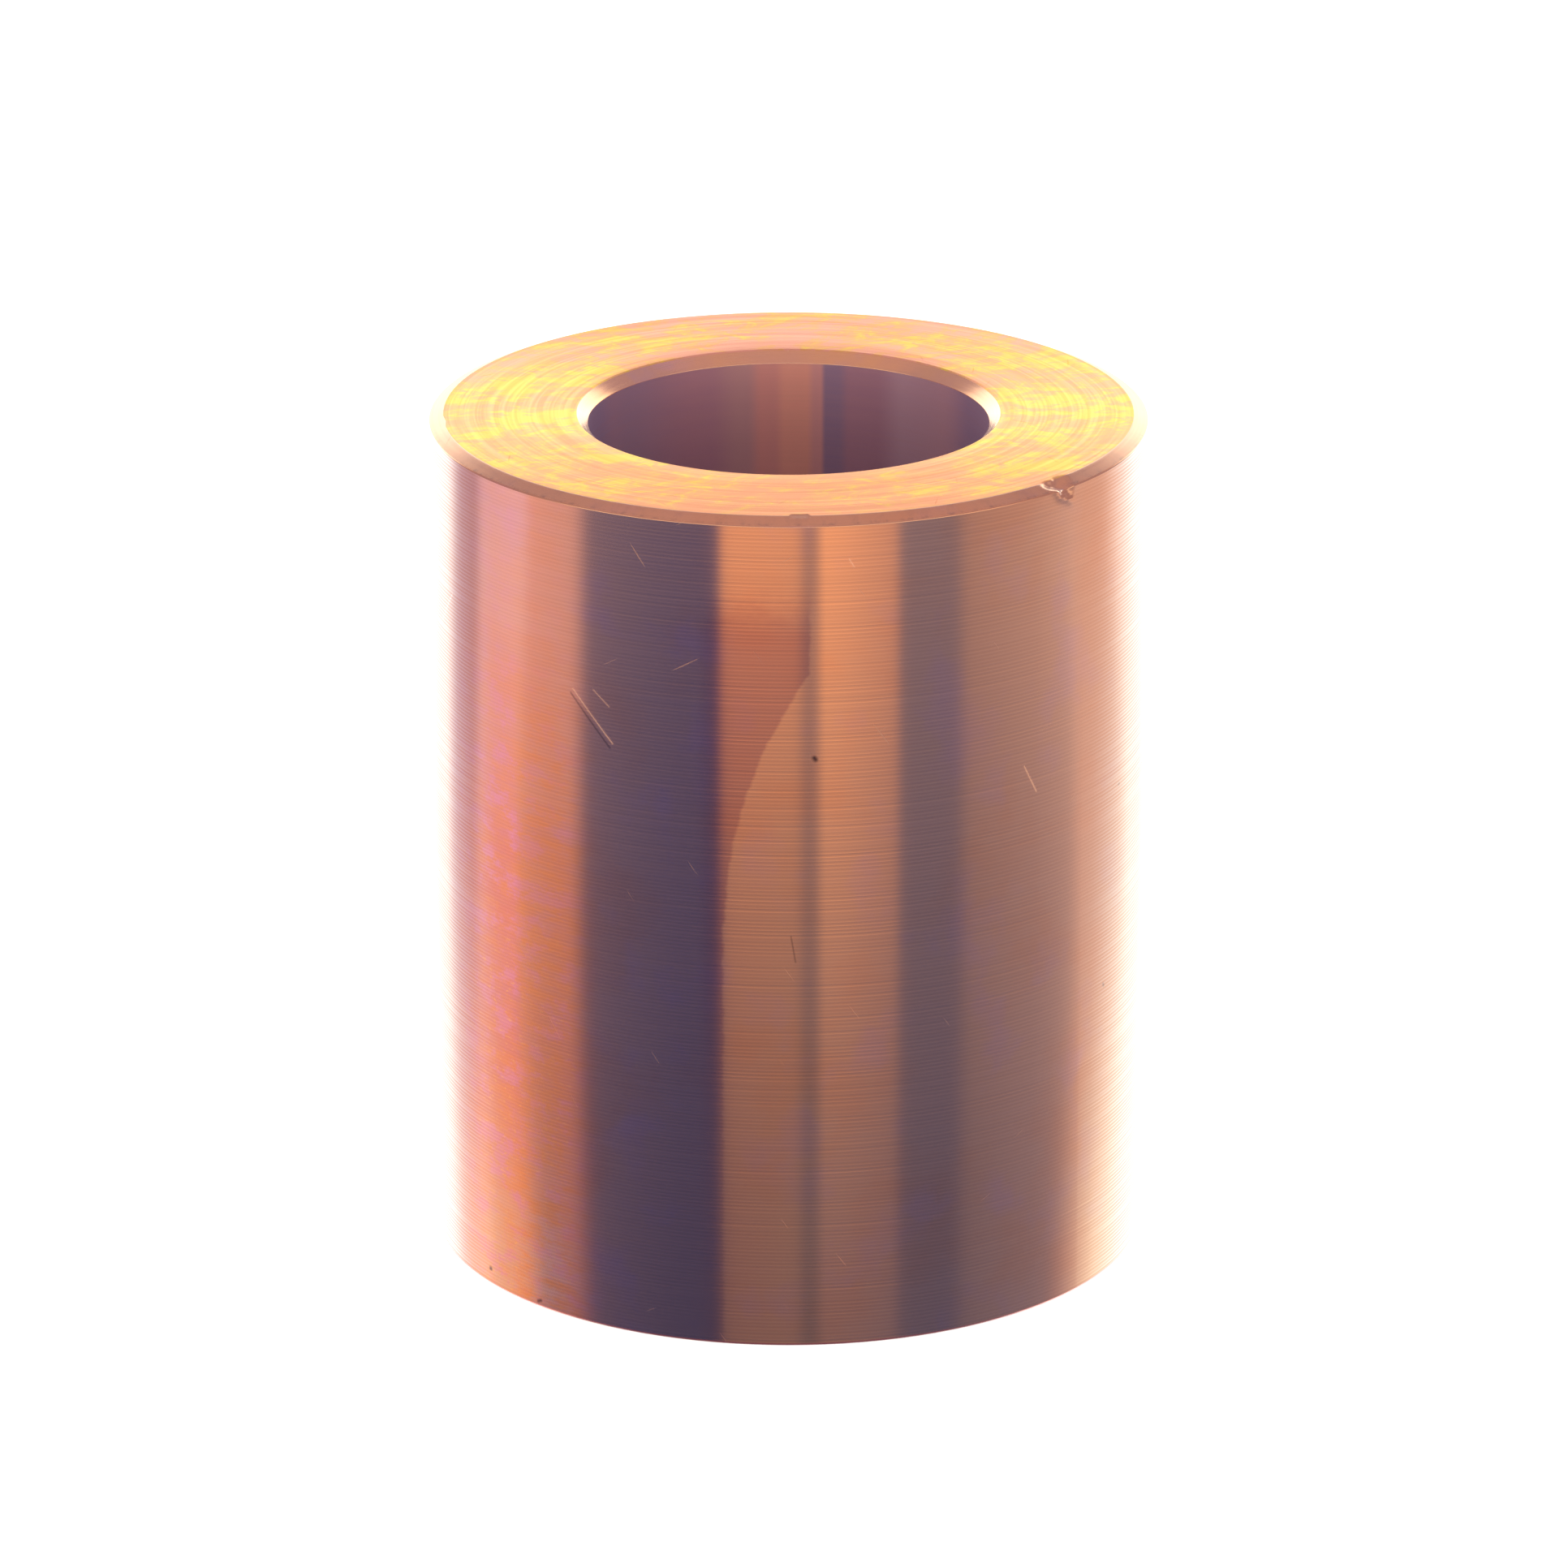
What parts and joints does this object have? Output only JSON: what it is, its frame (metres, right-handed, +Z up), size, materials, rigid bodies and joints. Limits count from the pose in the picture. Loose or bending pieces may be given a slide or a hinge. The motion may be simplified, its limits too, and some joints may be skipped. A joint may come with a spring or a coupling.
{
  "type": "sleeve bushing",
  "caption": "Plain thick-walled bronze sleeve bushing: straight bore with lead-in chamfers, turned outside, flat ends, chamfered outside edge at the upper end.",
  "frame": {"origin": "on the bore axis, in the plane of the lower end face", "axes": "+Z up along the bore axis, towards the end with the outside lead-in chamfer"},
  "size_m": [0.046, 0.046, 0.055],
  "materials": {
    "turned_bronze": "fine turned, lightly heat-tinted"
  },
  "bodies": {
    "root": {"bushing_sleeve": "turned_bronze"}
  },
  "joints": []
}
